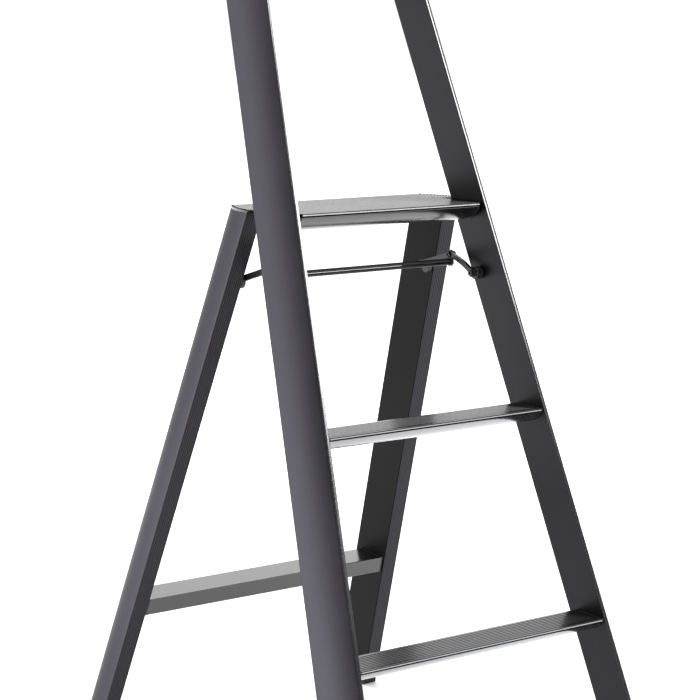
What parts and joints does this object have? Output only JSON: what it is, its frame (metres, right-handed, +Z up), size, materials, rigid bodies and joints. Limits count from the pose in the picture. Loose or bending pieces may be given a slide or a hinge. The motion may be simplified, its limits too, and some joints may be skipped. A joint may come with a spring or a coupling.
{
  "type": "step ladder",
  "caption": "Folding three-step ladder with a high handrail, wing-section aluminium rails, a top platform over the rear legs and a jointed stay.",
  "frame": {"origin": "on the floor, at the middle of the open ladder's footprint", "axes": "+Z up, -Y towards the climber (the steps face -Y), +X to the climber's right"},
  "size_m": [0.4886, 0.7642, 1.092],
  "materials": {
    "anodised": "dark grey anodised, satin",
    "tread": "dark anodised, ribbed lengthwise, with a bright nose",
    "plastic": "black moulded",
    "rubber": "dark grey non-slip",
    "cast": "as cast",
    "steel": "plated"
  },
  "bodies": {
    "front_frame": {"rail_left": "anodised", "rail_right": "anodised", "handrail_bar": "anodised", "handrail_corner_left": "plastic", "handrail_corner_right": "plastic", "step_lower": "tread", "step_lower_cap_left": "plastic", "step_lower_screw_left": "steel", "step_lower_cap_right": "plastic", "step_lower_screw_right": "steel", "step_middle": "tread", "step_middle_cap_left": "plastic", "step_middle_screw_left": "steel", "step_middle_cap_right": "plastic", "step_middle_screw_right": "steel", "front_foot_left": "rubber", "hinge_block_left": "cast", "hinge_pin_left": "steel", "stay_boss_left": "plastic", "stay_screw_left": "steel", "front_foot_right": "rubber", "hinge_block_right": "cast", "hinge_pin_right": "steel", "stay_boss_right": "plastic", "stay_screw_right": "steel"},
    "rear_frame": {"platform": "tread", "platform_cap_left": "plastic", "hinge_washer_left": "plastic", "rear_leg_left": "anodised", "leg_spacer_left": "cast", "leg_screw_1_left": "steel", "leg_screw_2_left": "steel", "rear_foot_left": "rubber", "stay_bracket_left": "plastic", "platform_cap_right": "plastic", "hinge_washer_right": "plastic", "rear_leg_right": "anodised", "leg_spacer_right": "cast", "leg_screw_1_right": "steel", "leg_screw_2_right": "steel", "rear_foot_right": "rubber", "stay_bracket_right": "plastic", "rear_crossbar": "tread", "crossbar_cap_left": "plastic", "crossbar_screw_left": "steel", "crossbar_cap_right": "plastic", "crossbar_screw_right": "steel"},
    "front_stay": {"stay_front_arm_left": "plastic", "stay_elbow_pin_left": "steel", "stay_front_arm_right": "plastic", "stay_elbow_pin_right": "steel", "stay_upper_rod": "plastic", "stay_lower_rod": "plastic"},
    "rear_stay": {"stay_rear_arm_left": "plastic", "stay_pin_left": "steel", "stay_rear_arm_right": "plastic", "stay_pin_right": "steel"}
  },
  "joints": [
    {"name": "frame_fold", "type": "hinge", "parent": "front_frame", "child": "rear_frame", "pos_m": [0, -0.0295, 0.766], "axis": [-1, 0, 0], "range_deg": [0, 42.4]},
    {"name": "stay_front_pivot", "type": "hinge", "parent": "front_frame", "child": "front_stay", "pos_m": [0, -0.0635, 0.686], "axis": [1, 0, 0], "range_deg": [0, 21.66]},
    {"name": "stay_elbow_pivot", "type": "hinge", "parent": "front_stay", "child": "rear_stay", "pos_m": [0, -0.0148, 0.706], "axis": [-1, 0, 0], "range_deg": [0, 91.93]}
  ],
  "couplings": [
    {"joint": "stay_front_pivot", "follows": "frame_fold", "ratio": 0.5097},
    {"joint": "stay_elbow_pivot", "follows": "frame_fold", "ratio": 2.1669}
  ]
}
